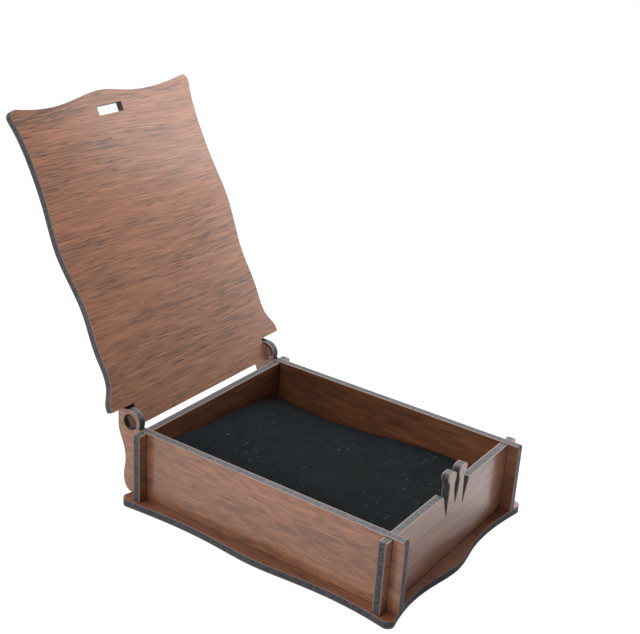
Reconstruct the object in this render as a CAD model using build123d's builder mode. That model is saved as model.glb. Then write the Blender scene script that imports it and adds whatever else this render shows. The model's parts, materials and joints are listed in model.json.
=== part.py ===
from build123d import *
import os
from math import cos, hypot, radians, sin

# Hinged gift box for jewelry, cut from thin veneered board, standing with its lid open.
# Millimetres. The origin is the centre of the base plate's underside, on the table.
# +Z is up, the catch faces -Y and the hinge lies along X behind the rear wall, at +Y.

# Board and fits
board = 4.0            # thickness of every panel
joint_gap = 0.1        # free space round each tab and in each halving joint
lid_gap = 0.3          # closed lid's underside above the side walls
stop_gap = 0.1         # open lid's wings above the shoulders they stop on
bed_gap = 0.3          # padded bed to the walls around it

# Walls
box_width = 110.0      # over the outer faces of the side walls
box_length = 142.0     # over the outer faces of the front and rear walls
side_top = 40.0        # top edge of the side walls above the table
end_drop = 0.4         # front and rear walls end this much lower
side_stub = 6.0        # side walls run on past the front wall
end_stub = 5.0         # front and rear walls run on past the side walls
stub_round = 1.2       # upper corners of the run-on ends
tab_length = 18.0      # tabs under the walls, seated in the base plate
tab_inset = 30.0       # middle of a tab from the nearest corner of the box

# Hinge
hinge_setback = 6.7    # hinge axis behind the rear wall's outer face
open_tilt = 26.7       # degrees that the open lid leans back from upright
tongue_width = 6.2     # lid's tongue across the board
hinge_play = 0.45      # corners of the tongue to the bore in the ear
ear_side_gap = 0.8     # lid's middle to the inner faces of the ears
tongue_recess = 1.2    # tongue ends inside the ear's outer face
wing_start = 8.0       # lid's wings begin this far from the hinge axis
ear_back = 7.6         # shoulder's rear edge behind the hinge axis
shoulder_round = 2.0   # rear corner of the shoulder

# Curved tail of the side walls, measured back from the rear wall's outer face
tail_waist = 9.9       # narrowest place of the tail
waist_height = 16.0    # above the base plate
hip_height = 27.6      # tail is midway between ear and waist here, above the base plate
tail_foot = 10.7       # bulge of the foot
foot_height = 5.0      # above the base plate
tail_heel = 6.4        # where the foot rounds down onto the base plate

# Catch: two prongs cut out of the front wall by three slits
slot_width = 17.0      # slot in the lid
slot_play = 0.4        # slot to each face of the front wall
slot_shift = 0.1       # slot sits this much further out, for the arc that it comes down on
snap_bite = 0.2        # each prong's head past the end of the slot
stem_gap = 4.6         # between the prongs at the wall's top
stem_width = 4.2       # of a prong at the wall's top
slit_mouth = 5.6       # outer slits at the wall's top
slit_lean = 1.0        # foot of an outer slit outwards from its prong's stem
slit_depth = 13.4      # outer slits below the side walls' top
middle_depth = 9.8     # middle slit, in the same way
neck_height = 2.6      # stems reach this high above the side walls' top
head_middle = 6.8      # widest place of the heads, in the same way
head_top = 9.0         # tip of the heads, in the same way
head_cheek = 0.85      # heads reach over the stems on the inner side
cheek_drop = 1.2       # that bulge below the widest place

# Waved outlines: how far the panels reach past the walls' outer faces
corner_round = 3.4
base_trough = 3.7      # front and rear edges of the base plate
base_crest = 7.5
base_side_trough = 4.5
base_side_crest = 7.0
base_corner_x = 7.8
base_corner_y = 7.7
lid_trough = 4.6       # front edge of the lid
lid_crest = 8.1
lid_side_trough = 3.6
lid_side_crest = 6.5
lid_corner_x = 8.2
lid_corner_y = 8.2
wing_flare = 9.7       # lid's rear corners
wing_tuck = 0.3        # rear corners come back in at the wings' lower edge

# Points of each wave: place along the side as a share of its half length, from left to right or
# from front to rear, and lift as a share of the way from trough to crest
end_wave = [(-0.94, 0.33), (-0.74, 0), (-0.42, 0.3), (-0.05, 1), (0.29, 0.24), (0.56, 0), (0.9, 0.42)]
base_side_wave = [(-0.93, 0.5), (-0.66, 0), (-0.34, 0.4), (-0.03, 1), (0.25, 0.5), (0.51, 0.2), (0.84, 0.6)]
lid_side_wave = [(-0.87, 0.27), (-0.68, 0.07), (-0.4, 0.4), (-0.14, 1), (0.3, 0), (0.6, 0.4), (0.84, 0.8)]

# Padded bed: foam under a velvet cover, heights above the base plate
velvet = 0.8           # thickness of the cover
cover_gap = 0.3        # cover to the foam
bed_crown = 25.0       # highest line of the bed
crown_shift = -26.0    # that line to the left of the middle
crown_fall = 1.4       # it drops by this much at the front and rear ends
bed_left = 21.5        # at the left wall
bed_right = 15.2       # at the right wall
front_rise = 2.2       # right side is higher by this much at the front
bed_draw = 1.0         # sides drawn in between the corners
bed_round = 3.0        # upright corners of the bed

# Places worked out from these sizes
half_w = box_width / 2
half_l = box_length / 2
end_top = side_top - end_drop
halving_z = (board + side_top) / 2
hinge_y = half_l + hinge_setback
hinge_z = side_top + lid_gap + board / 2
tilt = radians(open_tilt)
bore_radius = hypot(tongue_width / 2, board / 2) + hinge_play
ear_radius = wing_start * cos(tilt) - board / 2 * sin(tilt) - stop_gap
lid_plane = Plane(origin=(0, hinge_y, hinge_z), x_dir=(1, 0, 0), z_dir=(0, -cos(tilt), sin(tilt)))

os.makedirs("parts", exist_ok=True)


# Points of a wave between two corners: distance along the side, and overhang
def wave_points(wave, half_side, trough, crest):
    return [(share * half_side, trough + lift * (crest - trough)) for share, lift in wave]


# Padded bed's closed form, made smaller on all sides but its underside
def bed_form(inset):
    wide = half_w - board - bed_gap - inset
    long = half_l - board - bed_gap - inset
    base = board - inset
    with BuildPart() as form:
        for y, draw, fall, rise in (
            (-long, 0, crown_fall, front_rise),
            (0, bed_draw, 0, 0),
            (long, 0, crown_fall, 0),
        ):
            edge_x = wide - draw
            with BuildSketch(Plane.XZ.offset(-y)):
                with BuildLine():
                    crown = (crown_shift, base + bed_crown - fall)
                    left = Spline((-edge_x, base + bed_left), crown, tangents=((3, 1), (1, 0)))
                    right = Spline(crown, (edge_x, base + bed_right + rise), tangents=((1, 0), (3, -1)))
                    Polyline(right @ 1, (edge_x, board), (-edge_x, board), left @ 0)
                make_face()
        loft()
        with BuildSketch(Plane.XY.offset(board)):
            with BuildLine():
                ThreePointArc((-wide, -long), (0, bed_draw - long), (wide, -long))
                Line((wide, -long), (wide, long))
                ThreePointArc((wide, long), (0, long - bed_draw), (-wide, long))
                Line((-wide, long), (-wide, -long))
            plan = make_face()
            fillet(plan.vertices(), radius=bed_round)
        extrude(amount=side_top, mode=Mode.INTERSECT)
    return form.part


# Base plate, with a slot for every tab of the walls
tab_x = half_w - tab_inset
tab_y = half_l - tab_inset
end_mid_y = half_l - board / 2
side_mid_x = half_w - board / 2
with BuildPart() as base_plate:
    corner_x = half_w + base_corner_x
    corner_y = half_l + base_corner_y
    ends = wave_points(end_wave, half_w, base_trough, base_crest)
    sides = wave_points(base_side_wave, half_l, base_side_trough, base_side_crest)
    with BuildSketch():
        with BuildLine():
            for side in (-1, 1):
                front_or_rear = [(x, side * (half_l + over)) for x, over in ends]
                Spline((-corner_x, side * corner_y), *front_or_rear, (corner_x, side * corner_y))
                left_or_right = [(side * (half_w + over), y) for y, over in sides]
                Spline((side * corner_x, -corner_y), *left_or_right, (side * corner_x, corner_y))
        make_face()
    extrude(amount=board)
    fillet(base_plate.edges().filter_by(Axis.Z), radius=corner_round)
    with BuildSketch():
        with GridLocations(2 * tab_x, 2 * end_mid_y, 2, 2):
            Rectangle(tab_length + 2 * joint_gap, board + 2 * joint_gap)
        with GridLocations(2 * side_mid_x, 2 * tab_y, 2, 2):
            Rectangle(board + 2 * joint_gap, tab_length + 2 * joint_gap)
    extrude(amount=board, mode=Mode.SUBTRACT)
base_plate.part.label = "base_plate"
export_step(base_plate.part, "parts/base_plate.step")


# Outline of the front or rear wall below its top, with its tabs and without its halvings
def end_wall_body():
    with BuildSketch(mode=Mode.PRIVATE) as body:
        with Locations((0, board)):
            wall = Rectangle(2 * (half_w + end_stub), end_top - board, align=(Align.CENTER, Align.MIN))
        fillet(wall.vertices().group_by(Axis.Y)[-1], radius=stub_round)
        with Locations((-tab_x, joint_gap), (tab_x, joint_gap)):
            Rectangle(tab_length, board - joint_gap, align=(Align.CENTER, Align.MIN))
    return body.sketch


# Upper halvings, which the side walls drop over
def end_wall_halvings():
    with BuildSketch(mode=Mode.PRIVATE) as cuts:
        with Locations((-side_mid_x, halving_z), (side_mid_x, halving_z)):
            Rectangle(board + 2 * joint_gap, side_top, align=(Align.CENTER, Align.MIN))
    return cuts.sketch


# Rear wall
with BuildPart() as rear_wall:
    with BuildSketch(Plane.XZ.offset(-half_l)):
        add(end_wall_body())
        add(end_wall_halvings(), mode=Mode.SUBTRACT)
    extrude(amount=board)
rear_wall.part.label = "rear_wall"
export_step(rear_wall.part, "parts/rear_wall.step")

# Front wall, with the catch: slits cut two springy prongs, whose heads hold the lid's slot
stem_inner = stem_gap / 2
stem_outer = stem_inner + stem_width
head_outer = slot_width / 2 + snap_bite
head_inner = stem_inner - head_cheek
slit_foot = side_top - slit_depth
middle_foot = side_top - middle_depth
neck_z = side_top + neck_height
widest_z = side_top + head_middle
tip_x = (stem_inner + head_outer) / 2
with BuildPart() as front_wall:
    with BuildSketch(Plane.XZ.offset(half_l - board)):
        add(end_wall_body())
        add(end_wall_halvings(), mode=Mode.SUBTRACT)
        for side in (-1, 1):
            with BuildLine():
                Polyline(
                    (side * (stem_outer + slit_mouth), side_top),
                    (side * (stem_outer + slit_lean), slit_foot),
                    (side * stem_outer, side_top),
                    close=True,
                )
            make_face(mode=Mode.SUBTRACT)
            with BuildLine():
                flare = Spline(
                    (side * stem_outer, neck_z),
                    (side * head_outer, widest_z),
                    tangents=((0, 1), (0, 1)),
                    tangent_scalars=(0.6, 0.6),
                )
                dome = Spline(
                    flare @ 1,
                    (side * tip_x, side_top + head_top),
                    (side * head_inner, widest_z - cheek_drop),
                    tangents=((0, 1), (0, -1)),
                )
                cheek = Spline(
                    dome @ 1,
                    (side * stem_inner, neck_z),
                    tangents=((0, -1), (0, -1)),
                )
                Polyline(
                    cheek @ 1,
                    (side * stem_inner, end_top),
                    (side * stem_outer, end_top),
                    flare @ 0,
                )
            make_face()
        with BuildLine():
            Polyline((-stem_inner, end_top), (0, middle_foot), (stem_inner, end_top), close=True)
        make_face(mode=Mode.SUBTRACT)
    extrude(amount=board)
front_wall.part.label = "front_wall"
export_step(front_wall.part, "parts/front_wall.step")

# Side walls: lower halvings over the front and rear walls, and the hinge ear on its curved tail
shoulder_y = hinge_y + ear_back
ear_top = hinge_z + ear_radius
ear_front = hinge_y - (ear_radius**2 - (hinge_z - side_top) ** 2) ** 0.5
ear_bow = radians(125)
for name, left_x in (("left_wall", -half_w), ("right_wall", half_w - board)):
    with BuildPart() as side_wall:
        with BuildSketch(Plane.YZ.offset(left_x)):
            with BuildLine():
                ThreePointArc(
                    (ear_front, side_top),
                    (hinge_y + ear_radius * cos(ear_bow), hinge_z + ear_radius * sin(ear_bow)),
                    (hinge_y, ear_top),
                )
                Line((hinge_y, ear_top), (shoulder_y - shoulder_round, ear_top))
                RadiusArc(
                    (shoulder_y - shoulder_round, ear_top),
                    (shoulder_y, ear_top - shoulder_round),
                    shoulder_round,
                )
                tail_top = (shoulder_y, hinge_z - ear_radius / 2)
                Line((shoulder_y, ear_top - shoulder_round), tail_top)
                tail = Spline(
                    tail_top,
                    ((shoulder_y + half_l + tail_waist) / 2, board + hip_height),
                    (half_l + tail_waist, board + waist_height),
                    (half_l + tail_foot, board + foot_height),
                    (half_l + tail_heel, board),
                    tangents=((0, -1), (-1, 0)),
                )
                Polyline(
                    tail @ 1,
                    (-half_l - side_stub, board),
                    (-half_l - side_stub, side_top),
                    (ear_front, side_top),
                )
            wall = make_face()
            fillet(wall.vertices().sort_by(Axis.X)[:2].sort_by(Axis.Y)[-1], radius=stub_round)
            with Locations((hinge_y, hinge_z)):
                Circle(bore_radius, mode=Mode.SUBTRACT)
            with Locations((-end_mid_y, board), (end_mid_y, board)):
                Rectangle(
                    board + 2 * joint_gap,
                    halving_z - board,
                    align=(Align.CENTER, Align.MIN),
                    mode=Mode.SUBTRACT,
                )
            with Locations((-tab_y, joint_gap), (tab_y, joint_gap)):
                Rectangle(tab_length, board - joint_gap, align=(Align.CENTER, Align.MIN))
        extrude(amount=board)
    side_wall.part.label = name
    export_step(side_wall.part, f"parts/{name}.step")

# Lid, drawn on its own plane: x along the hinge, y away from it towards the front edge
middle_x = half_w - board - ear_side_gap
tongue_x = half_w - tongue_recess
slot_reach = hinge_y + end_mid_y + slot_shift
with BuildPart() as lid:
    corner_x = half_w + lid_corner_x
    corner_y = hinge_y + half_l + lid_corner_y
    ends = wave_points(end_wave, half_w, lid_trough, lid_crest)
    sides = wave_points(lid_side_wave, half_l, lid_side_trough, lid_side_crest)
    front = [(x, hinge_y + half_l + over) for x, over in ends]
    wing_x = half_w + wing_flare - wing_tuck
    with BuildSketch(lid_plane):
        with BuildLine():
            Spline((-corner_x, corner_y), *front, (corner_x, corner_y))
            for side in (-1, 1):
                Spline(
                    (side * corner_x, corner_y),
                    *[(side * (half_w + over), hinge_y - y) for y, over in sides],
                    (side * (half_w + wing_flare), wing_start + board / 2),
                    (side * wing_x, wing_start),
                )
            Polyline(
                (wing_x, wing_start),
                (middle_x, wing_start),
                (middle_x, tongue_width / 2),
                (tongue_x, tongue_width / 2),
                (tongue_x, -tongue_width / 2),
                (-tongue_x, -tongue_width / 2),
                (-tongue_x, tongue_width / 2),
                (-middle_x, tongue_width / 2),
                (-middle_x, wing_start),
                (-wing_x, wing_start),
            )
        make_face()
    extrude(amount=board / 2, both=True)
    upright = lid.edges().filter_by(Axis(lid_plane.origin, lid_plane.z_dir))
    fillet(upright.sort_by(Axis(lid_plane.origin, lid_plane.y_dir))[-2:], radius=corner_round)
    with BuildSketch(lid_plane):
        with Locations((0, slot_reach)):
            Rectangle(slot_width, board + 2 * slot_play)
    extrude(amount=board, both=True, mode=Mode.SUBTRACT)
lid.part.label = "lid"
export_step(lid.part, "parts/lid.step")

# Velvet cover: a crowned cap, open underneath
cover_solid = bed_form(0)
cover_hollow = bed_form(velvet)
with BuildPart() as velvet_cover:
    add(cover_solid)
    add(cover_hollow, mode=Mode.SUBTRACT)
velvet_cover.part.label = "velvet_cover"
export_step(velvet_cover.part, "parts/velvet_cover.step")

# Foam that fills the cover
core_solid = bed_form(velvet + cover_gap)
with BuildPart() as foam_core:
    add(core_solid)
foam_core.part.label = "foam_core"
export_step(foam_core.part, "parts/foam_core.step")
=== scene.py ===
import json
import math
from typing import NamedTuple

import bpy
from bpy.props import FloatProperty, FloatVectorProperty, PointerProperty
from mathutils import Matrix, Vector, noise
from mathutils.bvhtree import BVHTree


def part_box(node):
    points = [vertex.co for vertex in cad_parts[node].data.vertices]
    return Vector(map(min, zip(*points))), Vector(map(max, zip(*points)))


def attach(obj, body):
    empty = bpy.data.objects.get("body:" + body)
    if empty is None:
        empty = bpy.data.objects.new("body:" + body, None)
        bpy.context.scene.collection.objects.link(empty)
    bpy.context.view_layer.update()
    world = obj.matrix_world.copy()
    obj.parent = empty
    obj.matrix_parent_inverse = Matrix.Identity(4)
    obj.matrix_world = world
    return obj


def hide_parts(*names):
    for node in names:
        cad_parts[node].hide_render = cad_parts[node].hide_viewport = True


bl_info = {
    "name": "Veneered gift box",
    "version": (1, 0, 0),
    "blender": (4, 5, 0),
    "location": "3D View > Sidebar > Gift Box",
    "description": "Dresses the packed gift box: walnut veneer, charred edges, padded velvet bed",
    "category": "Object",
}

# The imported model, in metres, and its box before anything is added to it.
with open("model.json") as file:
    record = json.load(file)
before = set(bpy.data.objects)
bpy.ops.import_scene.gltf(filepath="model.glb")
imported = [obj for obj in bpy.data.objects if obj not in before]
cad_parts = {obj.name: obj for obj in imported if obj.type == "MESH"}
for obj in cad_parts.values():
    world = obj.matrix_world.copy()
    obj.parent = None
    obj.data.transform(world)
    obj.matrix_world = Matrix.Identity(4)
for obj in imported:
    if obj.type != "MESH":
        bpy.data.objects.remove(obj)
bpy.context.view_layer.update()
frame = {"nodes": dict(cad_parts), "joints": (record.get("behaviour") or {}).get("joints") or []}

MM = 0.001
HALF_BOARD = 2.0  # half of a board's thickness, in mm
X, Y, Z = Vector((1, 0, 0)), Vector((0, 1, 0)), Vector((0, 0, 1))

# The open lid leans back by what its hinge turns past a right angle.
hinge = frame["joints"][0]
LEAN = math.radians(hinge["range_deg"][1] - 90)
HINGE_POINT = Vector(hinge["pos_m"])
UP_THE_LID = Vector((0, math.sin(LEAN), math.cos(LEAN)))


class Board(NamedTuple):
    """How the veneer lies on one board, and how its sheet differs from the others."""
    grain: Vector        # along the grain
    across: Vector       # across the grain, in the face
    centre: Vector       # a point at the middle of the board's thickness
    shift: float         # moves the patterns, so that no two boards look alike
    tone: float          # how light the sheet is
    streak: float = 18   # length of its streaks, in mm
    crisp: float = 0.8   # how strongly its fibre and pores show
    swing: float = 1.0   # how far its figure and its tone change over the board


def middle(name):
    """Centre of a CAD node's box."""
    low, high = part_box(name)
    return (low + high) / 2


# The rear and right walls, which show only from inside the box, have darker tones: partly the
# sheets' own tone, partly painted shade of the box's inside.
BOARDS = {
    "base_plate": Board(Y, X, middle("base_plate"), shift=3.7, tone=0.70),
    "front_wall": Board(X, Z, middle("front_wall"), shift=7.4, tone=0.66),
    "rear_wall": Board(X, Z, middle("rear_wall"), shift=11.1, tone=0.58),
    "left_wall": Board(Y, Z, middle("left_wall"), shift=14.8, tone=0.71, streak=8, crisp=1.1),
    "right_wall": Board(Y, Z, middle("right_wall"), shift=18.5, tone=0.57),
    "lid": Board(
        X, UP_THE_LID, HINGE_POINT, shift=31.3, tone=0.77, streak=40, crisp=1.8, swing=0.2,
    ),
}

# The lid's edge is brown farther than this from its middle and nearer than this to the hinge axis,
# in mm. Only the ends of its tongues lie there.
BROWN_BEYOND = 53.5
BROWN_WITHIN = 4.6

# Dust and fibres on the velvet. Each kind has the turn of its cells in radians, their length and
# width in mm, the radius of its mark as a share of the cell, and the share of empty cells.
LINT_KINDS = (
    (0.3, 5.5, 5.5, 0.08, 0.80),
    (1.1, 3.6, 3.6, 0.06, 0.90),
    (0.5, 11.0, 1.4, 0.13, 0.91),
    (2.2, 9.0, 1.1, 0.13, 0.92),
    (1.4, 14.0, 1.2, 0.11, 0.93),
)

# The padded bed, in mm: the radius of its upright corners, how far its sides are drawn in between
# the corners and half-way down, and the height of its dimples, which are about 22 mm apart.
BED_CORNER = 3.0
BED_DRAW = 1.0
BED_WAIST = 0.35
DIMPLE = 0.25
DIMPLES_PER_METRE = 45

# How far inside their CAD solids cover and foam are set, before any lift and padding, and the
# rounding of the foam's upper edge, in mm.
COVER_INSET = 0.15
FOAM_INSET = 0.3
FOAM_ROUND = 1.0

# Cells across and along the bed's top, and rows of cells down its sides.
BED_COLUMNS = 44
BED_ROWS = 58
BED_LEVELS = 7

# The CAD top is read a little inwards, so that every point at the rim meets it.
READ_INWARDS = 0.985
READ_FROM = 10  # mm above the bed

# The bed isn't one plain crown: along the right wall it dips behind the middle and stands higher
# in front. These are (y, lift) there in mm. The lift grows from nothing at the first x to all of
# it at the second.
RIGHT_SIDE_LIFT = [
    (-67, -0.2), (-51, 0.5), (-38, 1.8), (-16, 1.4), (8, -0.4), (32, -1.3), (49, -1.0), (67, 0.1),
]
RIGHT_SIDE_X = (-20, 50)

# The rear left corner stands higher too, in mm, and the lift grows the same way in x and in y.
CORNER_LIFT = 3.3
CORNER_X = (-2, -48)
CORNER_Y = (36, 67)

# Velvet that the foam's pressure pads out, and that is cut 1.2 per cent larger than its bed.
CLOTH_FRAMES = 18
CLOTH = {
    "quality": 6,
    "mass": 0.15,
    "tension_stiffness": 12,
    "compression_stiffness": 6,
    "bending_stiffness": 0.4,
    "shrink_min": -0.012,
    "use_pressure": True,
    "uniform_pressure_force": 1.5,
    "vertex_group_mass": "held",
}

# Soft lights: name, place, aim and size in metres, and the setting that holds the power.
LAMPS = (
    ("side_softbox", (0.5, -0.05, 0.15), (0.0, 0.03, 0.08), 0.36, "side"),
    ("front_softbox", (0.37, -0.09, 0.36), (0.05, 0.12, 0.15), 0.2, "front"),
    ("top_softbox", (0.19, 0.16, 0.42), (0.0, 0.06, 0.1), 0.4, "top"),
)

# The middle of the wide white light, in degrees from +X towards +Y and up from the floor.
WINDOW_AZIMUTH = 118
WINDOW_ELEVATION = 12

# The floor's reach to each side and its drop under the box in metres, the strength of its glow,
# and the share of glow that the camera sees, beside the paint.
FLOOR_REACH = 3.0
FLOOR_DROP = 0.1 * MM
FLOOR_GLOW = 1.2
FLOOR_GLOW_SHARE = 0.8

# How much of the sky's white a reflection shows.
SKY_MIRRORED = 0.32

# The photograph's viewpoint in metres and degrees, solved from the corners of the walls. The
# azimuth is counted from -Y towards -X.
CAMERA_PLACE = (-0.4267, -0.2744, 0.3188)
CAMERA_AZIMUTH = 56.42
CAMERA_ELEVATION = 23.14
CAMERA_ROLL = 3.61


def linear(colour):
    """Turns an sRGB hex colour into linear red, green and blue."""
    shares = [int(colour[start:start + 2], 16) / 255 for start in (0, 2, 4)]
    return tuple(
        share / 12.92 if share <= 0.04045 else ((share + 0.055) / 1.055) ** 2.4
        for share in shares
    )


def add_node(tree, kind, inputs=None, **settings):
    """Adds a node, sets its properties, and fills or links its inputs. Where labels repeat, an
    input goes by its number: a mix takes its two values at 2 and 3, and its two colours at 6
    and 7."""
    node = tree.nodes.new(kind)
    for key, value in settings.items():
        setattr(node, key, value)
    for key, value in (inputs or {}).items():
        if isinstance(value, bpy.types.NodeSocket):
            tree.links.new(value, node.inputs[key])
        else:
            node.inputs[key].default_value = value
    return node


def new_material(name):
    """A material whose node tree is empty."""
    material = bpy.data.materials.new(name)
    material.use_nodes = True
    material.node_tree.nodes.clear()
    return material


def blend_stops(ramp, stops):
    """Sets the stops of a new colour ramp, two or more, given as (place, linear colour)."""
    elements = ramp.color_ramp.elements
    while len(elements) < len(stops):
        elements.new(1.0)
    for element, (place, colour) in zip(elements, stops):
        element.position = place
        element.color = (*colour, 1)


class BoardSettings(bpy.types.PropertyGroup):
    veneer: FloatVectorProperty(
        name="Veneer", description="Middle colour of the walnut veneer",
        subtype="COLOR", size=3, min=0, max=1, default=linear("ad7150"),
    )
    early_wood: FloatVectorProperty(
        name="Light bands", description="Paler bands of the veneer's figure",
        subtype="COLOR", size=3, min=0, max=1, default=linear("c1815b"),
    )
    late_wood: FloatVectorProperty(
        name="Dark bands", description="Greyish darker bands of the veneer's figure",
        subtype="COLOR", size=3, min=0, max=1, default=linear("825648"),
    )
    pore: FloatVectorProperty(
        name="Pores", description="Short dark lines of the open pores",
        subtype="COLOR", size=3, min=0, max=1, default=linear("583a2f"),
    )
    char: FloatVectorProperty(
        name="Char", description="Laser-charred edge of the board's core",
        subtype="COLOR", size=3, min=0, max=1, default=linear("303235"),
    )
    ash: FloatVectorProperty(
        name="Ash", description="Lighter flecks in the charred edge",
        subtype="COLOR", size=3, min=0, max=1, default=linear("52555a"),
    )
    # Partly the veneer's own cut edge, partly a painted highlight along the board's edges.
    veneer_edge_and_highlight: FloatVectorProperty(
        name="Veneer's edge", description="Pale line of cut veneer along both faces",
        subtype="COLOR", size=3, min=0, max=1, default=linear("8a7065"),
    )
    # Painted shade: a dark broken line along each joint where one board passes through another.
    joint_shade: FloatVectorProperty(
        name="Joint shade", description="Dark lines where one board passes through another",
        subtype="COLOR", size=3, min=0, max=1, default=linear("2b2423"),
    )
    ringed: FloatVectorProperty(
        name="Ringed ends", description="Brown ends of the lid's tongues, rubbed by the bores",
        subtype="COLOR", size=3, min=0, max=1, default=linear("573b2f"),
    )
    veneer_depth: FloatProperty(
        name="Veneer depth", description="Thickness of the veneer seen at a cut edge",
        subtype="DISTANCE", unit="LENGTH", min=0.0001, max=0.001, default=0.55 * MM,
    )
    face_roughness: FloatProperty(
        name="Face roughness", description="Roughness of the satin lacquer",
        subtype="FACTOR", min=0, max=1, default=0.4,
    )
    lacquer: FloatProperty(
        name="Lacquer", description="How much of a second, smoother coat the veneer has",
        subtype="FACTOR", min=0, max=1, default=0.9,
    )
    lacquer_roughness: FloatProperty(
        name="Lacquer roughness", description="Roughness of the lacquer's upper coat",
        subtype="FACTOR", min=0, max=1, default=0.17,
    )


class VelvetSettings(bpy.types.PropertyGroup):
    pile: FloatVectorProperty(
        name="Pile", description="Colour deep in the velvet's pile",
        subtype="COLOR", size=3, min=0, max=1, default=linear("05090b"),
    )
    # Painted sheen: the paler colour where the pile leans.
    pile_sheen: FloatVectorProperty(
        name="Brushed pile", description="Colour where the pile leans and catches light",
        subtype="COLOR", size=3, min=0, max=1, default=linear("0d1417"),
    )
    lint: FloatVectorProperty(
        name="Lint", description="Small specks and fibres lying on the pile",
        subtype="COLOR", size=3, min=0, max=1, default=linear("5f676a"),
    )
    thickness: FloatProperty(
        name="Cover thickness", description="Thickness of the velvet",
        subtype="DISTANCE", unit="LENGTH", min=0.0004, max=0.0012, default=0.8 * MM,
    )
    swell: FloatProperty(
        name="Swell", description="Farthest that a point of the cover moves when it is padded out",
        subtype="DISTANCE", unit="LENGTH", min=0, max=0.002, default=0.9 * MM,
    )
    edge_round: FloatProperty(
        name="Edge rounding", description="Radius where the top turns down to the sides",
        subtype="DISTANCE", unit="LENGTH", min=0.0005, max=0.004, default=1.6 * MM,
    )
    foam_colour: FloatVectorProperty(
        name="Foam", description="Colour of the open-cell foam under the velvet",
        subtype="COLOR", size=3, min=0, max=1, default=linear("7c7c7e"),
    )


class StudioSettings(bpy.types.PropertyGroup):
    floor: FloatVectorProperty(
        name="Floor", description="Colour of the floor and the backdrop",
        subtype="COLOR", size=3, min=0, max=1, default=linear("f4f4f4"),
    )
    window: FloatProperty(
        name="Window light", description="Strength of the wide white light from behind at the left",
        min=0, max=6, default=2.0,
    )
    side: FloatProperty(
        name="Side light", description="Power of the low soft light at the right",
        subtype="POWER", unit="POWER", min=0, max=20, default=1.65,
    )
    front: FloatProperty(
        name="Front light", description="Power of the soft light that the lid's right side mirrors",
        subtype="POWER", unit="POWER", min=0, max=20, default=0.23,
    )
    top: FloatProperty(
        name="Top light", description="Power of the high soft light at the right",
        subtype="POWER", unit="POWER", min=0, max=20, default=2.7,
    )
    focal: FloatProperty(
        name="Focal length", description="Focal length on a sensor 36 mm wide",
        min=10, max=300, default=67.16,
    )


def stretch(tree, place, along, across, through, shift):
    """Place on a board, divided by a pattern's size in mm each way, and shifted within it."""
    return add_node(tree, "ShaderNodeVectorMath", {
        0: place.outputs[0], 1: (1 / along, 1 / across, 1 / through), 2: (shift, shift, shift),
    }, operation="MULTIPLY_ADD").outputs[0]


def swayed(tree, place, axes, shift):
    """Place on a board for its grain, which wanders by a few millimetres over its length."""
    sway_field = add_node(tree, "ShaderNodeTexNoise", {
        "Vector": stretch(tree, place, 130, 60, 60, shift),
        "Scale": 1.0, "Detail": 1.0, "Roughness": 0.4,
    })
    sway = add_node(tree, "ShaderNodeMapRange", {
        "Value": sway_field.outputs["Fac"], "To Min": -4.0, "To Max": 4.0,
    })
    wavy_y = add_node(tree, "ShaderNodeMath", {
        0: axes.outputs["Y"], 1: sway.outputs["Result"],
    }, operation="ADD")
    return add_node(tree, "ShaderNodeCombineXYZ", {
        "X": axes.outputs["X"], "Y": wavy_y.outputs[0], "Z": axes.outputs["Z"],
    })


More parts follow.
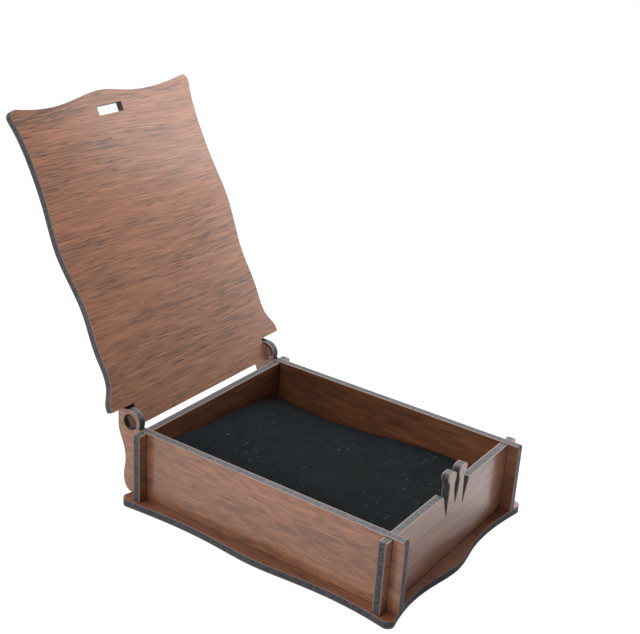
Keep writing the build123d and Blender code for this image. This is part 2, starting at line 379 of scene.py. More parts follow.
def veneer_face(tree, grain_place, board, look):
    """Colour of the veneer, and its relief, in which the lacquer sinks a little into the pores."""
    # Figure: streaks 2 to 4 mm wide, orange-brown and dull brown by turns.
    bands = add_node(tree, "ShaderNodeTexNoise", {
        "Vector": stretch(tree, grain_place, board.streak, 2.4, 3, board.shift * 2.3),
        "Scale": 1.0, "Detail": 4.0, "Roughness": 0.6, "Distortion": 0.3,
    })
    figure = add_node(tree, "ShaderNodeValToRGB", {"Fac": bands.outputs["Fac"]})
    spread = 1.5 - 0.5 * board.swing
    blend_stops(figure, [
        (0.5 - 0.24 * spread, look.late_wood),
        (0.5, look.veneer),
        (0.5 + 0.22 * spread, look.early_wood),
    ])

    # Broad change of tone, in bands 6 to 12 mm wide and about 110 mm long.
    broad = add_node(tree, "ShaderNodeTexNoise", {
        "Vector": stretch(tree, grain_place, 110, 12, 3, board.shift * 1.4),
        "Scale": 1.0, "Detail": 1.0,
    })
    broad_tone = add_node(tree, "ShaderNodeMapRange", {
        "Value": broad.outputs["Fac"], "From Min": 0.3, "From Max": 0.7,
        "To Min": (1 - 0.16 * board.swing) * board.tone,
        "To Max": (1 + 0.1 * board.swing) * board.tone,
    })

    # Fibre: streaks 0.7 mm wide and about 22 mm long.
    fibre = add_node(tree, "ShaderNodeTexNoise", {
        "Vector": stretch(tree, grain_place, 22, 0.7, 3, board.shift),
        "Scale": 1.0, "Detail": 2.0, "Roughness": 0.6,
    })
    fibre_tone = add_node(tree, "ShaderNodeMapRange", {
        "Value": fibre.outputs["Fac"], "From Min": 0.3, "From Max": 0.7,
        "To Min": 1 - 0.24 * board.crisp, "To Max": 1 + 0.2 * board.crisp,
    })
    both_tones = add_node(tree, "ShaderNodeMath", {
        0: broad_tone.outputs["Result"], 1: fibre_tone.outputs["Result"],
    }, operation="MULTIPLY")
    toned = add_node(tree, "ShaderNodeVectorMath", {
        0: figure.outputs["Color"], 3: both_tones.outputs[0],
    }, operation="SCALE")

    # Pores: thin dark lines, 0.45 mm wide and about 10 mm long, closer together in dark bands.
    pores = add_node(tree, "ShaderNodeTexNoise", {
        "Vector": stretch(tree, grain_place, 10, 0.45, 3, board.shift * 0.7),
        "Scale": 1.0, "Detail": 1.0,
    })
    crowded = add_node(tree, "ShaderNodeMath", {
        0: broad.outputs["Fac"], 1: -0.35, 2: pores.outputs["Fac"],
    }, operation="MULTIPLY_ADD")
    pore_share = add_node(tree, "ShaderNodeMapRange", {
        "Value": crowded.outputs[0], "From Min": 0.405, "From Max": 0.565,
        "To Min": 0.0, "To Max": 0.65 * board.crisp,
    })
    pore_colour = add_node(tree, "ShaderNodeVectorMath", {
        0: look.pore, 3: board.tone,
    }, operation="SCALE")
    wood = add_node(tree, "ShaderNodeMix", {
        "Factor": pore_share.outputs["Result"], 6: toned.outputs[0], 7: pore_colour.outputs[0],
    }, data_type="RGBA")
    relief = add_node(tree, "ShaderNodeMath", {
        0: pore_share.outputs["Result"], 1: -0.5, 2: fibre.outputs["Fac"],
    }, operation="MULTIPLY_ADD")
    return wood.outputs[2], relief.outputs[0]


def cut_edge(tree, place, axes, look):
    """Colour of a laser-cut edge, and its relief, which the beam has ribbed."""
    # Charred core: flecks of about 1 mm, drawn out through the board by the beam.
    flecks = add_node(tree, "ShaderNodeTexNoise", {
        "Vector": stretch(tree, place, 1.1, 1.1, 2.5, 0),
        "Scale": 1.0, "Detail": 2.0, "Roughness": 0.7,
    })
    fleck_share = add_node(tree, "ShaderNodeMapRange", {
        "Value": flecks.outputs["Fac"], "From Min": 0.4, "From Max": 0.66,
    })
    core = add_node(tree, "ShaderNodeMix", {
        "Factor": fleck_share.outputs["Result"], 6: (*look.char, 1), 7: (*look.ash, 1),
    }, data_type="RGBA")

    # Pale line of veneer along both faces of the board, singed unevenly; it also serves as a
    # painted highlight along the board's edges.
    depth = add_node(tree, "ShaderNodeMath", {0: axes.outputs["Z"]}, operation="ABSOLUTE")
    line_start = HALF_BOARD - look.veneer_depth / MM
    ragged = add_node(tree, "ShaderNodeMath", {
        0: flecks.outputs["Fac"], 1: -0.5, 2: depth.outputs[0],
    }, operation="MULTIPLY_ADD")
    line_and_highlight_share = add_node(tree, "ShaderNodeMapRange", {
        "Value": ragged.outputs[0],
        "From Min": line_start - 0.35, "From Max": line_start - 0.1,
        "To Min": 0.0, "To Max": 0.9,
    })
    lined = add_node(tree, "ShaderNodeMix", {
        "Factor": line_and_highlight_share.outputs["Result"], 6: core.outputs[2], 7: (*look.veneer_edge_and_highlight, 1),
    }, data_type="RGBA")
    return lined.outputs[2], flecks.outputs["Fac"]


def brown_tongue_ends(tree, place, edge_colour, look):
    """Colour of the lid's cut edges, brown at the ends of its tongues."""
    spot = add_node(tree, "ShaderNodeVectorMath", {
        0: place.outputs["Vector"],
    }, operation="ABSOLUTE")
    spot_axes = add_node(tree, "ShaderNodeSeparateXYZ", {"Vector": spot.outputs[0]})
    outside = add_node(tree, "ShaderNodeMath", {
        0: spot_axes.outputs["X"], 1: BROWN_BEYOND,
    }, operation="GREATER_THAN")
    near_axis = add_node(tree, "ShaderNodeMath", {
        0: spot_axes.outputs["Y"], 1: BROWN_WITHIN,
    }, operation="LESS_THAN")
    tongue = add_node(tree, "ShaderNodeMath", {
        0: outside.outputs[0], 1: near_axis.outputs[0],
    }, operation="MULTIPLY")
    return add_node(tree, "ShaderNodeMix", {
        "Factor": tongue.outputs[0], 6: edge_colour, 7: (*look.ringed, 1),
    }, data_type="RGBA").outputs[2]


def seams(name):
    """Where the faces of other boards meet this one, in mm along and across its grain."""
    board = BOARDS[name]
    along, over = [], []
    for other_name, other in BOARDS.items():
        if "lid" in (name, other_name):
            continue
        normal = other.grain.cross(other.across)
        for axis, lines in ((board.grain, along), (board.across, over)):
            if abs(normal.dot(axis)) > 0.9:
                place = (other.centre - board.centre).dot(axis) / MM
                lines += [place - HALF_BOARD, place + HALF_BOARD]
    return along, over


def with_joint_shade(tree, name, place, axes, is_face, colour, look):
    """Colour of a board with painted shade along each joint: a broken dark line where another board
    passes through it."""
    along, over = seams(name)
    gap = None
    for axis, lines in (("X", along), ("Y", over)):
        for line in lines:
            offset = add_node(tree, "ShaderNodeMath", {
                0: axes.outputs[axis], 1: line,
            }, operation="SUBTRACT")
            away = add_node(tree, "ShaderNodeMath", {0: offset.outputs[0]}, operation="ABSOLUTE")
            gap = away if gap is None else add_node(tree, "ShaderNodeMath", {
                0: gap.outputs[0], 1: away.outputs[0],
            }, operation="MINIMUM")
    if gap is None:
        return colour

    # The painted joint shade comes and goes over about 9 mm.
    come_and_go = add_node(tree, "ShaderNodeTexNoise", {
        "Vector": stretch(tree, place, 9, 9, 9, BOARDS[name].shift), "Scale": 1.0, "Detail": 1.0,
    })
    broken = add_node(tree, "ShaderNodeMapRange", {
        "Value": come_and_go.outputs["Fac"], "From Min": 0.35, "From Max": 0.6,
        "To Min": 0.1, "To Max": 0.7,
    })
    joint_shade_share = add_node(tree, "ShaderNodeMapRange", {
        "Value": gap.outputs[0], "From Min": 0.15, "From Max": 0.5,
        "To Min": broken.outputs["Result"], "To Max": 0.0,
    })
    joint_shade_seen = add_node(tree, "ShaderNodeMath", {
        0: joint_shade_share.outputs["Result"], 1: is_face.outputs[0],
    }, operation="MULTIPLY")
    return add_node(tree, "ShaderNodeMix", {
        "Factor": joint_shade_seen.outputs[0], 6: colour, 7: (*look.joint_shade, 1),
    }, data_type="RGBA").outputs[2]


# Walnut veneer on fibreboard, cut by laser. The veneer is sliced wood under satin lacquer: soft
# bands a few millimetres wide that run along the grain, with short dark pore lines.
# The laser chars the core to a grey-black edge and leaves a thin pale line of veneer on each side,
# which is also a painted highlight along the edges.
def board_material(name, look):
    board = BOARDS[name]
    material = new_material("walnut_veneer_" + name)
    tree = material.node_tree
    normal = board.grain.cross(board.across)
    turn = Matrix((board.grain, board.across, normal))
    coords = add_node(tree, "ShaderNodeTexCoord")

    # Place on the board in millimetres: x along the grain, y across it, z through the board.
    place = add_node(tree, "ShaderNodeMapping", {
        "Vector": coords.outputs["Object"],
        "Location": -(turn @ (board.centre / MM)),
        "Rotation": turn.to_euler(),
        "Scale": (1 / MM, 1 / MM, 1 / MM),
    })
    axes = add_node(tree, "ShaderNodeSeparateXYZ", {"Vector": place.outputs["Vector"]})
    grain_place = swayed(tree, place, axes, board.shift)
    wood, wood_relief = veneer_face(tree, grain_place, board, look)
    edge, edge_relief = cut_edge(tree, place, axes, look)
    if name == "lid":
        edge = brown_tongue_ends(tree, place, edge, look)

    # A surface that faces along the board's thickness is veneer; every other one was cut.
    faces = add_node(tree, "ShaderNodeVectorMath", {
        0: coords.outputs["Normal"], 1: normal,
    }, operation="DOT_PRODUCT")
    facing = add_node(tree, "ShaderNodeMath", {0: faces.outputs["Value"]}, operation="ABSOLUTE")
    is_face = add_node(tree, "ShaderNodeMath", {
        0: facing.outputs[0], 1: 0.75,
    }, operation="GREATER_THAN")
    colour = add_node(tree, "ShaderNodeMix", {
        "Factor": is_face.outputs[0], 6: edge, 7: wood,
    }, data_type="RGBA")
    roughness = add_node(tree, "ShaderNodeMapRange", {
        "Value": is_face.outputs[0], "To Min": 0.55, "To Max": look.face_roughness,
    })
    height = add_node(tree, "ShaderNodeMix", {
        "Factor": is_face.outputs[0], 2: edge_relief, 3: wood_relief,
    }, data_type="FLOAT")
    bump = add_node(tree, "ShaderNodeBump", {
        "Strength": 0.35, "Distance": 0.06 * MM, "Height": height.outputs[0],
    })
    coat = add_node(tree, "ShaderNodeMapRange", {
        "Value": is_face.outputs[0], "To Max": look.lacquer,
    })
    shader = add_node(tree, "ShaderNodeBsdfPrincipled", {
        "Base Color": with_joint_shade(tree, name, place, axes, is_face, colour.outputs[2], look),
        "Roughness": roughness.outputs["Result"],
        "IOR": 1.5, "Specular IOR Level": 0.3, "Normal": bump.outputs["Normal"],
        "Coat Weight": coat.outputs["Result"], "Coat Roughness": look.lacquer_roughness,
        "Coat IOR": 1.5,
    })
    add_node(tree, "ShaderNodeOutputMaterial", {"Surface": shader.outputs[0]})
    return material


def lint_share(tree, place):
    """How much of the velvet's colour is lint here: dust of 0.3 to 0.7 mm, and fibres up to 3 mm
    long that lie three ways and bend a little."""
    bend = add_node(tree, "ShaderNodeTexNoise", {
        "Vector": place.outputs[0], "Scale": 1 / 4, "Detail": 1.0,
    })
    bent = add_node(tree, "ShaderNodeVectorMath", {
        0: bend.outputs["Color"], 1: (2.5, 2.5, 0), 2: place.outputs[0],
    }, operation="MULTIPLY_ADD")
    marks = None
    for turn, length, width, share, empty in LINT_KINDS:
        cell_place = add_node(tree, "ShaderNodeMapping", {
            "Vector": bent.outputs[0], "Rotation": (0, 0, turn),
            "Scale": (1 / length, 1 / width, 1),
        })
        cells = add_node(tree, "ShaderNodeTexVoronoi", {
            "Vector": cell_place.outputs["Vector"], "Scale": 1.0, "Randomness": 1.0,
        }, voronoi_dimensions="2D")
        near = add_node(tree, "ShaderNodeMapRange", {
            "Value": cells.outputs["Distance"], "From Min": share, "From Max": share * 0.4,
        })
        chosen = add_node(tree, "ShaderNodeSeparateColor", {"Color": cells.outputs["Color"]})
        kept = add_node(tree, "ShaderNodeMapRange", {
            "Value": chosen.outputs[0], "From Min": empty, "From Max": 1.0, "To Max": 0.9,
        })
        mark = add_node(tree, "ShaderNodeMath", {
            0: near.outputs["Result"], 1: kept.outputs["Result"],
        }, operation="MULTIPLY")
        marks = mark if marks is None else add_node(tree, "ShaderNodeMath", {
            0: marks.outputs[0], 1: mark.outputs[0],
        }, operation="MAXIMUM")

    # They gather in places, 20 to 30 mm apart.
    gathered = add_node(tree, "ShaderNodeTexNoise", {
        "Vector": place.outputs[0], "Scale": 1 / 24, "Detail": 1.0,
    })
    gathered_share = add_node(tree, "ShaderNodeMapRange", {
        "Value": gathered.outputs["Fac"], "From Min": 0.42, "From Max": 0.6,
        "To Min": 0.15, "To Max": 1.0,
    })
    return add_node(tree, "ShaderNodeMath", {
        0: marks.outputs[0], 1: gathered_share.outputs["Result"],
    }, operation="MULTIPLY").outputs[0]


# Cotton velvet: a short dense pile that swallows light, with painted sheen that makes it a little
# paler where it leans, and the dust and short fibres that black pile collects.
def velvet_material(look):
    material = new_material("black_cotton_velvet")
    tree = material.node_tree
    coords = add_node(tree, "ShaderNodeTexCoord")
    place = add_node(tree, "ShaderNodeVectorMath", {
        0: coords.outputs["Object"], 3: 1 / MM,
    }, operation="SCALE")

    # The pile leans in patches 5 to 15 mm across, and shows as strokes of about 0.8 by 2.5 mm.
    # Where it leans, a paler colour paints its sheen.
    patches = add_node(tree, "ShaderNodeTexNoise", {
        "Vector": place.outputs[0], "Scale": 1 / 11, "Detail": 3.0, "Roughness": 0.65,
        "Distortion": 1.2,
    })
    tufts = add_node(tree, "ShaderNodeTexNoise", {
        "Vector": stretch(tree, place, 2.5, 0.8, 2.0, 0), "Scale": 1.0, "Detail": 2.0,
        "Roughness": 0.75, "Distortion": 0.8,
    })
    lean = add_node(tree, "ShaderNodeMath", {
        0: tufts.outputs["Fac"], 1: 0.8, 2: patches.outputs["Fac"],
    }, operation="MULTIPLY_ADD")
    pile_sheen_share = add_node(tree, "ShaderNodeMapRange", {
        "Value": lean.outputs[0], "From Min": 0.72, "From Max": 1.12,
    })
    pile = add_node(tree, "ShaderNodeMix", {
        "Factor": pile_sheen_share.outputs["Result"], 6: (*look.pile, 1), 7: (*look.pile_sheen, 1),
    }, data_type="RGBA")
    colour = add_node(tree, "ShaderNodeMix", {
        "Factor": lint_share(tree, place), 6: pile.outputs[2], 7: (*look.lint, 1),
    }, data_type="RGBA")
    bump = add_node(tree, "ShaderNodeBump", {
        "Strength": 0.6, "Distance": 0.25 * MM, "Height": tufts.outputs["Fac"],
    })
    shader = add_node(tree, "ShaderNodeBsdfPrincipled", {
        "Base Color": colour.outputs[2], "Roughness": 0.95, "Specular IOR Level": 0.1,
        "Sheen Weight": 0.03, "Sheen Roughness": 0.45, "Sheen Tint": (0.75, 0.88, 1.0, 1),
        "Normal": bump.outputs["Normal"],
    })
    add_node(tree, "ShaderNodeOutputMaterial", {"Surface": shader.outputs[0]})
    return material


# Polyurethane foam, cut from a block: matt, with open cells of about 1 mm.
def foam_material(look):
    material = new_material("polyurethane_foam")
    tree = material.node_tree
    coords = add_node(tree, "ShaderNodeTexCoord")
    cells = add_node(tree, "ShaderNodeTexVoronoi", {
        "Vector": coords.outputs["Object"], "Scale": 1000 / 1.1,
    }, feature="SMOOTH_F1")
    # The cells are darker towards their middles: painted shade in their hollows.
    tone = add_node(tree, "ShaderNodeMapRange", {
        "Value": cells.outputs["Distance"], "From Max": 0.8, "To Min": 0.45, "To Max": 1.05,
    })
    colour = add_node(tree, "ShaderNodeVectorMath", {
        0: look.foam_colour, 3: tone.outputs["Result"],
    }, operation="SCALE")
    bump = add_node(tree, "ShaderNodeBump", {
        "Strength": 0.8, "Distance": 0.4 * MM, "Height": cells.outputs["Distance"],
    })
    shader = add_node(tree, "ShaderNodeBsdfPrincipled", {
        "Base Color": colour.outputs[0], "Roughness": 0.95, "Specular IOR Level": 0.2,
        "Normal": bump.outputs["Normal"],
    })
    add_node(tree, "ShaderNodeOutputMaterial", {"Surface": shader.outputs[0]})
    return material


def dress(name, look):
    """Gives one board of the frame its own walnut material."""
    piece = frame["nodes"][name]
    piece.data.materials.clear()
    piece.data.materials.append(board_material(name, look))


def rounded(u, v, half_x, half_y, corner):
    """A point of the square from -1 to 1, moved onto a plan with rounded corners."""
    x, y = abs(u) * half_x, abs(v) * half_y
    over_x, over_y = (x - half_x + corner) / corner, (y - half_y + corner) / corner
    if over_x > 0 and over_y > 0:
        x = half_x - corner + corner * over_x * math.sqrt(1 - over_y**2 / 2)
        y = half_y - corner + corner * over_y * math.sqrt(1 - over_x**2 / 2)
    return math.copysign(x, u), math.copysign(y, v)


def part_way(value, start, end):
    """How far a value is on its way from the start to the end, between 0 and 1."""
    return min(1, max(0, (value - start) / (end - start)))


def even_way(value, start, end):
    """The same along a curve that is level at both ends."""
    share = part_way(value, start, end)
    return share * share * (3 - 2 * share)


def side_lift(x, y):
    """How much higher than the plain crown the bed is here, in metres."""
    x_mm, y_mm = x / MM, y / MM
    corner_lift = CORNER_LIFT * even_way(x_mm, *CORNER_X) * even_way(y_mm, *CORNER_Y)
    for (y0, lift0), (y1, lift1) in zip(RIGHT_SIDE_LIFT, RIGHT_SIDE_LIFT[1:]):
        if y0 <= y_mm <= y1:
            lift = lift0 + (lift1 - lift0) * even_way(y_mm, y0, y1)
            fade = part_way(x_mm, *RIGHT_SIDE_X)
            return (lift * fade * fade + corner_lift) * MM
    return corner_lift * MM


def add_sides(points, faces, ring, foot, half_x):
    """Adds the sides from the rim of a top down to the foot, and gives their lower rim."""
    above = ring
    for level in range(1, BED_LEVELS + 1):
        share = level / BED_LEVELS
        pull = 1 - BED_WAIST * MM / half_x * math.sin(math.pi * share)
        below = []
        for start in ring:
            rim = points[start]
            below.append(len(points))
            points.append(Vector((rim.x * pull, rim.y * pull, rim.z + (foot - rim.z) * share)))
        for step in range(len(ring)):
            following = (step + 1) % len(ring)
            faces.append((above[following], above[step], below[step], below[following]))
        above = below
    return above


def padded_form(name, node, inset, edge_round, closed):
    """A crowned block over a rounded plan: its top follows the CAD node, its sides stand on the
    base. It is open underneath unless it is closed. Also gives the points of its lower rim."""
    low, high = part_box(node)
    half_x, half_y = (high.x - low.x) / 2 - inset, (high.y - low.y) / 2 - inset
    source = frame["nodes"][node].data
    surface = BVHTree.FromPolygons(
        [vertex.co.copy() for vertex in source.vertices],
        [tuple(polygon.vertices) for polygon in source.polygons],
    )
    cols, rows = BED_COLUMNS, BED_ROWS
    points, faces = [], []
    for row in range(rows + 1):
        for col in range(cols + 1):
            u, v = 2 * col / cols - 1, 2 * row / rows - 1
            x, y = rounded(u, v, half_x, half_y, BED_CORNER * MM)
            x *= 1 - BED_DRAW * MM / half_x * (1 - v * v) * abs(u) ** 3
            y *= 1 - BED_DRAW * MM / half_y * (1 - u * u) * abs(v) ** 3
            overhead = Vector((x * READ_INWARDS, y * READ_INWARDS, high.z + READ_FROM * MM))
            hit = surface.ray_cast(overhead, Vector((0, 0, -1)))[0]
            top = hit.z - inset + side_lift(x, y)
            edge = min(half_x - abs(x), half_y - abs(y))
            if edge < edge_round:
                top -= edge_round - math.sqrt(edge_round**2 - (edge_round - max(0, edge))**2)
            dimple = noise.noise(Vector((x, y, 0)) * DIMPLES_PER_METRE) * DIMPLE * MM
            points.append(Vector((x, y, top + dimple)))
    width = cols + 1
    for row in range(rows):
        for col in range(cols):
            corner = row * width + col
            faces.append((corner, corner + 1, corner + width + 1, corner + width))
    ring = list(range(cols))
    ring += [row * width + cols for row in range(rows)]
    ring += [rows * width + col for col in range(cols, 0, -1)]
    ring += [row * width for row in range(rows, 0, -1)]
    lower_rim = add_sides(points, faces, ring, low.z + (inset if closed else 0), half_x)
    if closed:
        faces.append(tuple(reversed(lower_rim)))
    mesh = bpy.data.meshes.new(name)
    mesh.from_pydata(points, [], faces)
    mesh.update()
    form = bpy.data.objects.new(name, mesh)
    bpy.context.scene.collection.objects.link(form)
    return form, lower_rim


def bake_modifiers(form):
    """Replaces a piece's mesh by the one that its modifiers make."""
    graph = bpy.context.evaluated_depsgraph_get()
    graph.update()
    made = bpy.data.meshes.new_from_object(form.evaluated_get(graph))
    form.modifiers.clear()
    old, form.data = form.data, made
    bpy.data.meshes.remove(old)
    made.name = form.name


def swell_cover(form, rim, limit, half_x, half_y):
    """Pads the cover out by a short cloth simulation, held at its lower rim, and caps how far
    any point moves and how near it comes to the walls."""
    rest = [vertex.co.copy() for vertex in form.data.vertices]
    held = form.vertex_groups.new(name="held")
    held.add(rim, 1.0, "REPLACE")
    cloth = form.modifiers.new("padding", "CLOTH")
    for key, value in CLOTH.items():
        setattr(cloth.settings, key, value)
    cloth.settings.effector_weights.gravity = 0
    cloth.collision_settings.use_collision = False
    scene = bpy.context.scene
    for step in range(CLOTH_FRAMES):
        scene.frame_set(step + 1)
    graph = bpy.context.evaluated_depsgraph_get()
    swollen = [vertex.co.copy() for vertex in form.evaluated_get(graph).data.vertices]
    form.modifiers.remove(cloth)
    scene.frame_set(1)
    for vertex, start, end in zip(form.data.vertices, rest, swollen):
        move = end - start
        if move.length > limit:
            move = move * (limit / move.length)
        spot = start + move
        spot.x = max(-half_x, min(half_x, spot.x))
        spot.y = max(-half_y, min(half_y, spot.y))
        vertex.co = spot
    form.vertex_groups.clear()
    form.data.update()


class GIFT_BOX_OT_dress_walls(bpy.types.Operator):
    """Gives the base plate and the four walls their walnut veneer and charred edges"""
    bl_idname = "gift_box.dress_walls"
    bl_label = "Dress base and walls"

    def execute(self, context):
        for name in BOARDS:
            if name != "lid":
                dress(name, context.scene.gift_box_boards)
        return {"FINISHED"}


class GIFT_BOX_OT_dress_lid(bpy.types.Operator):
    """Gives the lid its walnut veneer, with the grain along the hinge"""
    bl_idname = "gift_box.dress_lid"
    bl_label = "Dress lid"

    def execute(self, context):
        dress("lid", context.scene.gift_box_boards)
        return {"FINISHED"}


class GIFT_BOX_OT_velvet_cover(bpy.types.Operator):
    """Makes the padded velvet cover of the bed"""
    bl_idname = "gift_box.velvet_cover"
    bl_label = "Make velvet cover"

    def execute(self, context):
        look = context.scene.gift_box_velvet
        low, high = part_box("velvet_cover")
        cover, rim = padded_form(
            "velvet_bed", "velvet_cover", COVER_INSET * MM, look.edge_round, closed=False,
        )
        swell_cover(cover, rim, look.swell, (high.x - low.x) / 2, (high.y - low.y) / 2)
        smooth = cover.modifiers.new("smooth", "SUBSURF")
        smooth.levels = smooth.render_levels = 1
        shell = cover.modifiers.new("shell", "SOLIDIFY")
        shell.thickness = look.thickness
        shell.offset = -1
        bake_modifiers(cover)
        cover.data.shade_smooth()
        cover.data.materials.append(velvet_material(look))
        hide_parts("velvet_cover")
        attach(cover, "box")
        return {"FINISHED"}


class GIFT_BOX_OT_foam_core(bpy.types.Operator):
    """Makes the foam block that fills the velvet cover"""
    bl_idname = "gift_box.foam_core"
    bl_label = "Make foam core"

    def execute(self, context):
        look = context.scene.gift_box_velvet
        core, _ = padded_form(
            "foam_block", "foam_core", FOAM_INSET * MM, FOAM_ROUND * MM, closed=True,
        )
        core.data.shade_smooth()
        core.data.materials.append(foam_material(look))
        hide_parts("foam_core")
        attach(core, "box")
        return {"FINISHED"}


class GIFT_BOX_OT_studio(bpy.types.Operator):
    """Makes the pale floor, the soft lights and the camera"""
    bl_idname = "gift_box.studio"
    bl_label = "Make studio"

    def execute(self, context):
        look = context.scene.gift_box_studio
        scene = context.scene
        scene.view_settings.view_transform = "Standard"
        make_floor(look)
        make_sky(scene, look)
        for name, place, aim, size, setting in LAMPS:
            make_lamp(name, place, aim, size, getattr(look, setting))
        make_camera(scene, look)
        return {"FINISHED"}


def white_to_camera(tree, mirrored):
    """1 where the camera or a see-through surface looks, the given share where a reflection
    does, and 0 for plain light."""
    path = add_node(tree, "ShaderNodeLightPath")
    seen = add_node(tree, "ShaderNodeMath", {
        0: path.outputs["Is Glossy Ray"], 1: mirrored, 2: path.outputs["Is Camera Ray"],
    }, operation="MULTIPLY_ADD")
    return add_node(tree, "ShaderNodeMath", {
        0: seen.outputs[0], 1: path.outputs["Is Transmission Ray"],
    }, operation="MAXIMUM").outputs[0]


# Painted studio floor: matt and even, so that it shows only the soft shadow under the box.
def make_floor(look):
    reach = FLOOR_REACH
    mesh = bpy.data.meshes.new("studio_floor")
    corners = [(-reach, -reach, 0), (reach, -reach, 0), (reach, reach, 0), (-reach, reach, 0)]
    mesh.from_pydata(corners, [], [(0, 1, 2, 3)])
    floor = bpy.data.objects.new("studio_floor", mesh)
    floor.location.z = -FLOOR_DROP
    bpy.context.scene.collection.objects.link(floor)
    material = new_material("matt_floor_paint")
    tree = material.node_tree
    paint = add_node(tree, "ShaderNodeBsdfDiffuse", {"Color": (*look.floor, 1)})
    glow = add_node(tree, "ShaderNodeEmission", {"Color": (1, 1, 1, 1), "Strength": FLOOR_GLOW})

    # Reflections see the floor's glow only weakly in front of the box and fully at its sides, a
    # painted reflection that makes the sheen on the walls brighter towards the sides.
    coords = add_node(tree, "ShaderNodeTexCoord")
    axes = add_node(tree, "ShaderNodeSeparateXYZ", {"Vector": coords.outputs["Object"]})
    sideways = add_node(tree, "ShaderNodeMath", {0: axes.outputs["X"]}, operation="ABSOLUTE")
    mirrored = add_node(tree, "ShaderNodeMapRange", {
        "Value": sideways.outputs[0], "From Min": 20 * MM, "From Max": 100 * MM,
        "To Min": 0.1, "To Max": 1.0,
    })
    share = add_node(tree, "ShaderNodeMath", {
        0: white_to_camera(tree, mirrored.outputs["Result"]), 1: FLOOR_GLOW_SHARE,
    }, operation="MULTIPLY")
    mixed = add_node(tree, "ShaderNodeMixShader", {
        0: share.outputs[0], 1: paint.outputs[0], 2: glow.outputs[0],
    })
    add_node(tree, "ShaderNodeOutputMaterial", {"Surface": mixed.outputs[0]})
    mesh.materials.append(material)


def make_sky(scene, look):
    """White surroundings, lit from behind at the left and dark in front."""
    world = bpy.data.worlds.new("white_studio")
    scene.world = world
    world.use_nodes = True
    tree = world.node_tree
    tree.nodes.clear()
    direction = add_node(tree, "ShaderNodeTexCoord")
    azimuth, elevation = math.radians(WINDOW_AZIMUTH), math.radians(WINDOW_ELEVATION)
    towards = add_node(tree, "ShaderNodeVectorMath", {
        0: direction.outputs["Generated"],
        1: (
            math.cos(azimuth) * math.cos(elevation),
            math.sin(azimuth) * math.cos(elevation),
            math.sin(elevation),
        ),
    }, operation="DOT_PRODUCT")

    # The light fades evenly and ends 107 degrees from its middle, where the cosine is -0.3.
    strength = add_node(tree, "ShaderNodeMapRange", {
        "Value": towards.outputs["Value"], "From Min": -0.3, "From Max": 1.3,
        "To Min": 0.0, "To Max": look.window,
    }, interpolation_type="SMOOTHSTEP")
    light = add_node(tree, "ShaderNodeBackground", {
        "Color": (1, 1, 1, 1), "Strength": strength.outputs["Result"],
    })
    seen = add_node(tree, "ShaderNodeBackground", {"Color": (1, 1, 1, 1), "Strength": 1.0})
    mixed = add_node(tree, "ShaderNodeMixShader", {
        0: white_to_camera(tree, SKY_MIRRORED), 1: light.outputs[0], 2: seen.outputs[0],
    })
    add_node(tree, "ShaderNodeOutputWorld", {"Surface": mixed.outputs[0]})


def make_lamp(name, place, aim, size, power):
    """A round soft light that faces the point it is aimed at."""
    lamp = bpy.data.lights.new(name, "AREA")
    lamp.shape = "DISK"
    lamp.size = size
    lamp.energy = power
    lamp_object = bpy.data.objects.new(name, lamp)
    lamp_object.location = place
    lamp_object.rotation_mode = "QUATERNION"
    lamp_object.rotation_quaternion = (Vector(aim) - Vector(place)).to_track_quat("-Z", "Y")
    bpy.context.scene.collection.objects.link(lamp_object)


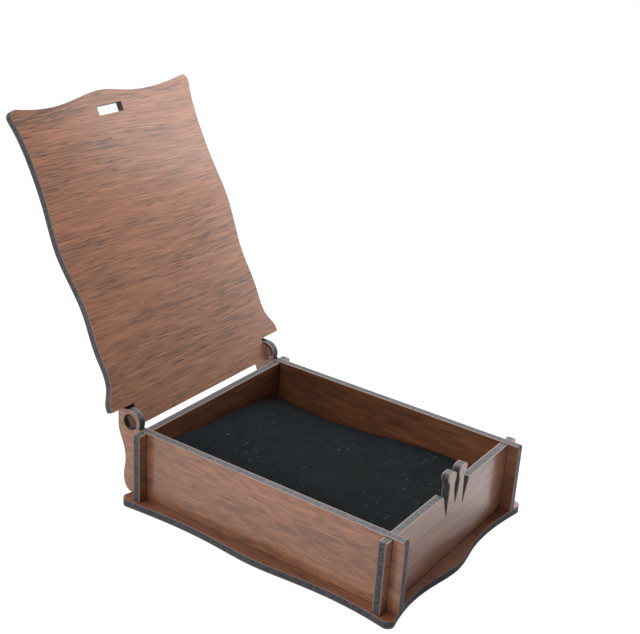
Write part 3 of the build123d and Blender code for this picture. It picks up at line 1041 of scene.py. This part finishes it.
def make_camera(scene, look):
    """A camera at the photograph's viewpoint."""
    azimuth, elevation, roll = (
        math.radians(angle) for angle in (CAMERA_AZIMUTH, CAMERA_ELEVATION, CAMERA_ROLL)
    )
    back = Vector((
        -math.sin(azimuth) * math.cos(elevation),
        -math.cos(azimuth) * math.cos(elevation),
        math.sin(elevation),
    ))
    right = (-back).cross(Z).normalized()
    up = right.cross(-back)
    tilted_right = right * math.cos(roll) + up * math.sin(roll)
    tilted_up = up * math.cos(roll) - right * math.sin(roll)
    lens = bpy.data.cameras.new("photo_camera")
    lens.sensor_width = 36
    lens.lens = look.focal
    lens.clip_start, lens.clip_end = 0.01, 20
    camera = bpy.data.objects.new("photo_camera", lens)
    turned = Matrix((tilted_right, tilted_up, back)).transposed().to_4x4()
    camera.matrix_world = Matrix.Translation(CAMERA_PLACE) @ turned
    scene.collection.objects.link(camera)
    scene.camera = camera


class GIFT_BOX_PT_sidebar(bpy.types.Panel):
    """Lists the box's pieces and its stage"""
    bl_idname = "GIFT_BOX_PT_sidebar"
    bl_label = "Veneered gift box"
    bl_space_type = "VIEW_3D"
    bl_region_type = "UI"
    bl_category = "Gift Box"

    def draw(self, context):
        for group, steps in (
            ("gift_box_boards", (GIFT_BOX_OT_dress_walls, GIFT_BOX_OT_dress_lid)),
            ("gift_box_velvet", (GIFT_BOX_OT_velvet_cover, GIFT_BOX_OT_foam_core)),
            ("gift_box_studio", (GIFT_BOX_OT_studio,)),
        ):
            box = self.layout.box()
            settings = getattr(context.scene, group)
            for key in settings.bl_rna.properties.keys():
                if key not in ("rna_type", "name"):
                    box.prop(settings, key)
            for step in steps:
                box.operator(step.bl_idname)


GROUPS = {
    "gift_box_boards": BoardSettings,
    "gift_box_velvet": VelvetSettings,
    "gift_box_studio": StudioSettings,
}
CLASSES = (
    BoardSettings,
    VelvetSettings,
    StudioSettings,
    GIFT_BOX_OT_dress_walls,
    GIFT_BOX_OT_dress_lid,
    GIFT_BOX_OT_velvet_cover,
    GIFT_BOX_OT_foam_core,
    GIFT_BOX_OT_studio,
    GIFT_BOX_PT_sidebar,
)


def register():
    for cls in CLASSES:
        bpy.utils.register_class(cls)
    for key, group in GROUPS.items():
        setattr(bpy.types.Scene, key, PointerProperty(type=group))


def unregister():
    for key in GROUPS:
        delattr(bpy.types.Scene, key)
    for cls in reversed(CLASSES):
        bpy.utils.unregister_class(cls)


def main():
    """Registers the add-on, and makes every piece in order."""
    register()
    bpy.ops.gift_box.dress_walls()
    bpy.ops.gift_box.dress_lid()
    bpy.ops.gift_box.velvet_cover()
    bpy.ops.gift_box.foam_core()
    bpy.ops.gift_box.studio()


if __name__ == "__main__":
    main()
